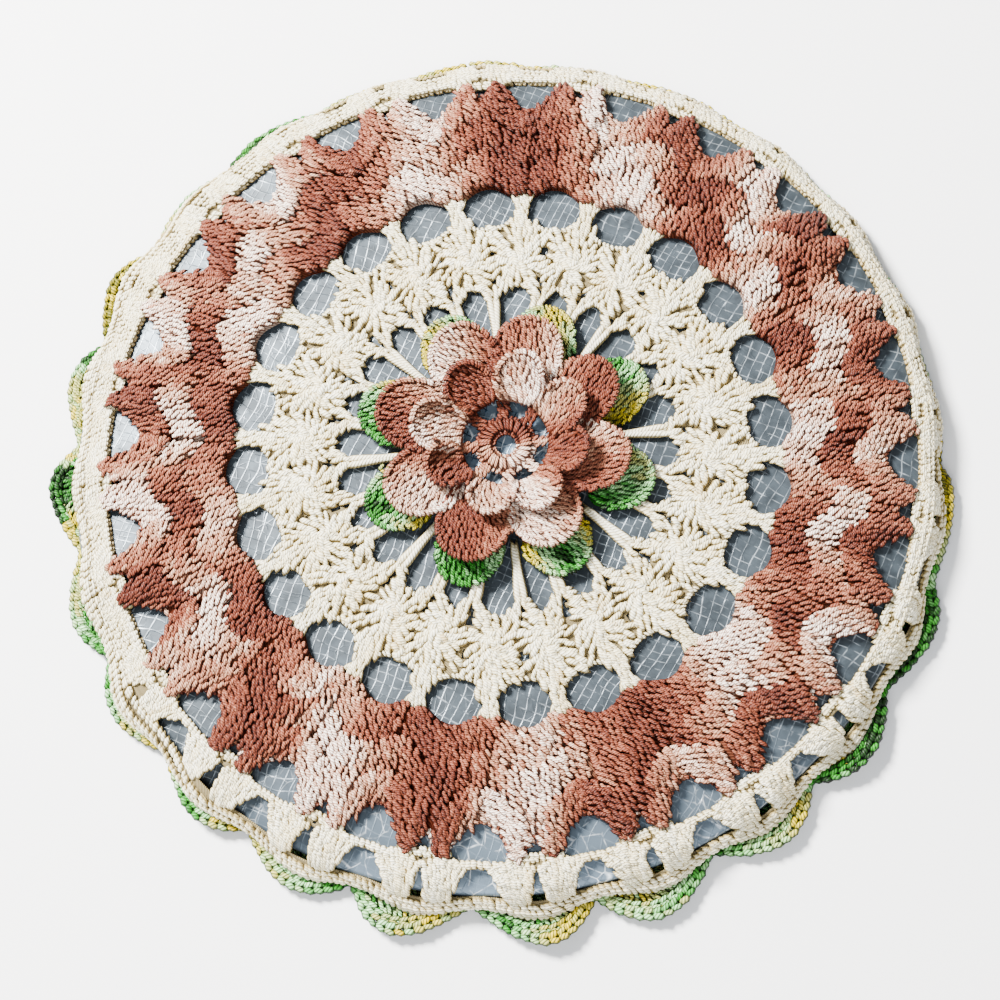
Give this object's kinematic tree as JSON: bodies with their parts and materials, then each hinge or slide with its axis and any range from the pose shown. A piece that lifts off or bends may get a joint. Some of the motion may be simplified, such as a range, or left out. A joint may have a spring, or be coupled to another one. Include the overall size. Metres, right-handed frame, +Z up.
{
  "type": "crocheted pot holder over a foil-covered pad",
  "caption": "Round crocheted cover with a raised rose, a brown ripple band and a scalloped edge, worked over a thin pad whose foil shows through the lace.",
  "frame": {"origin": "centre of the pad, at the flat underside of the crocheted back", "axes": "+Z up out of the face with the rose, +Y towards the top of the picture's view, +X to its right"},
  "size_m": [0.2008, 0.2008, 0.0169],
  "materials": {
    "foil": "embossed aluminium foil, slightly wrinkled",
    "cream_cotton": "mercerised cream cotton crochet thread",
    "brown_cotton": "space-dyed cotton crochet thread, brown to pale pink-tan",
    "green_cotton": "space-dyed cotton crochet thread, green, yellow and mint"
  },
  "bodies": {
    "root": {"back_cover": "brown_cotton", "foil_pad": "foil", "field": "cream_cotton", "ripple_band": "brown_cotton", "border": "cream_cotton", "edging": "green_cotton", "rose_eye": "brown_cotton", "petal_inner_1": "brown_cotton", "petal_inner_2": "brown_cotton", "petal_inner_3": "brown_cotton", "petal_inner_4": "brown_cotton", "petal_inner_5": "brown_cotton", "petal_inner_6": "brown_cotton", "petal_inner_7": "brown_cotton", "petal_inner_8": "brown_cotton", "petal_outer_1": "brown_cotton", "petal_outer_2": "brown_cotton", "petal_outer_3": "brown_cotton", "petal_outer_4": "brown_cotton", "petal_outer_5": "brown_cotton", "petal_outer_6": "brown_cotton", "petal_outer_7": "brown_cotton", "petal_outer_8": "brown_cotton", "leaf_1": "green_cotton", "leaf_2": "green_cotton", "leaf_3": "green_cotton", "leaf_4": "green_cotton", "leaf_5": "green_cotton", "leaf_6": "green_cotton", "leaf_7": "green_cotton", "leaf_8": "green_cotton"}
  },
  "joints": []
}
